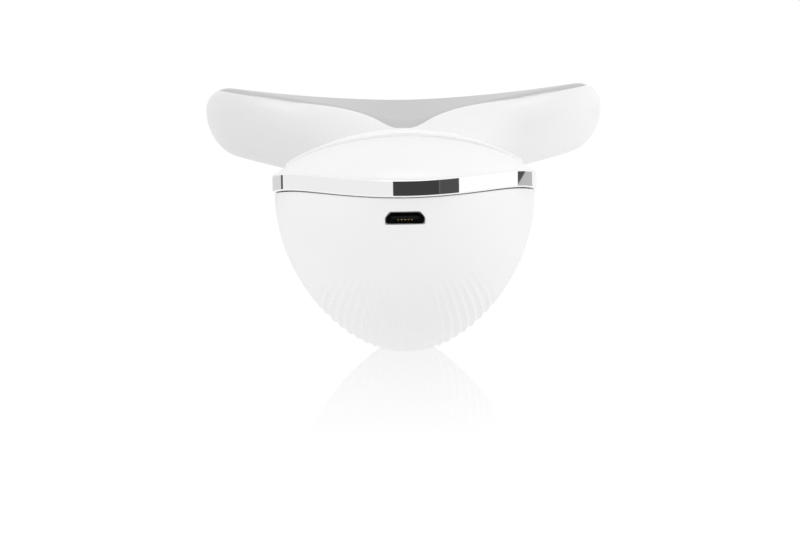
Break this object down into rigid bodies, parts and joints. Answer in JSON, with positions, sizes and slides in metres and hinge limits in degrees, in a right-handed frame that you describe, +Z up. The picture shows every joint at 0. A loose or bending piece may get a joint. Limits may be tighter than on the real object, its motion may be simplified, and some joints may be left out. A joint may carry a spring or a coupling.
{
  "type": "facial toning device",
  "caption": "Handheld facial toning device: egg-shaped fluted handle with chrome trim band and charging port, T-shaped head with a metal contact plate.",
  "frame": {"origin": "centre of the device's bounding box seen from above, on the table that its belly rests on", "axes": "+Y from the butt of the handle to the head, +X across the head, +Z up from the table to the contact plate"},
  "size_m": [0.0886, 0.148, 0.0515],
  "materials": {
    "shell_white": "satin",
    "panel_white": "gloss",
    "band_chrome": "polished",
    "inner_white": "matte",
    "key_white": "satin",
    "lens_clear": "gloss",
    "silicone_white": "matte",
    "plate_metal": "satin",
    "gasket_grey": "matte",
    "film_amber": "satin",
    "steel": "satin",
    "plastic_black": "matte",
    "contact_gold": "polished",
    "board_green": "satin",
    "ferrite_grey": "matte",
    "ceramic_tan": "matte",
    "cell_foil": "satin",
    "lead_red": "satin",
    "lead_black": "satin",
    "lead_white": "satin",
    "lead_blue": "satin",
    "weight_iron": "satin"
  },
  "bodies": {
    "housing": {"rear_shell": "shell_white", "trim_band": "band_chrome", "inner_frame": "inner_white", "front_cover": "shell_white", "control_panel": "panel_white", "indicator_lenses": "lens_clear", "power_return": "silicone_white", "level_return": "silicone_white", "head_shell": "shell_white", "contact_plate": "plate_metal", "plate_gasket": "gasket_grey", "heater_film": "film_amber", "usb_shell": "steel", "usb_tongue": "plastic_black", "usb_contacts": "contact_gold", "main_board": "board_green", "controller_chip": "plastic_black", "boost_inductor": "ferrite_grey", "chip_capacitors": "ceramic_tan", "wire_connector": "inner_white", "battery_tray": "inner_white", "battery_cell": "cell_foil", "battery_lead_plus": "lead_red", "battery_lead_minus": "lead_black", "button_board": "board_green", "key_switches": "plastic_black", "indicator_leds": "inner_white", "ribbon_cable": "film_amber", "motor_cradle": "gasket_grey", "vibration_motor": "steel", "head_board": "board_green", "plate_spring": "contact_gold", "neck_leads": "lead_white", "motor_leads": "lead_blue", "cover_screws": "steel", "board_screws": "steel", "neck_screws": "steel", "key_screws": "steel", "stand_screws": "steel"},
    "power_button": {"power_button": "key_white"},
    "level_button": {"level_button": "key_white"},
    "motor_weight": {"motor_weight": "weight_iron"}
  },
  "joints": [
    {"name": "power_press", "type": "slide", "parent": "housing", "child": "power_button", "axis": [0, 0, -1], "range_m": [0, 0.0004], "stiffness_N_per_m": 1500, "springref_m": -0.0001, "deforming": ["power_return"]},
    {"name": "level_press", "type": "slide", "parent": "housing", "child": "level_button", "axis": [0, 0, -1], "range_m": [0, 0.0004], "stiffness_N_per_m": 1500, "springref_m": -0.0001, "deforming": ["level_return"]},
    {"name": "weight_spin", "type": "hinge", "parent": "housing", "child": "motor_weight", "pos_m": [0.0076, 0.061, 0.0367], "axis": [1, 0, 0], "continuous": true}
  ]
}
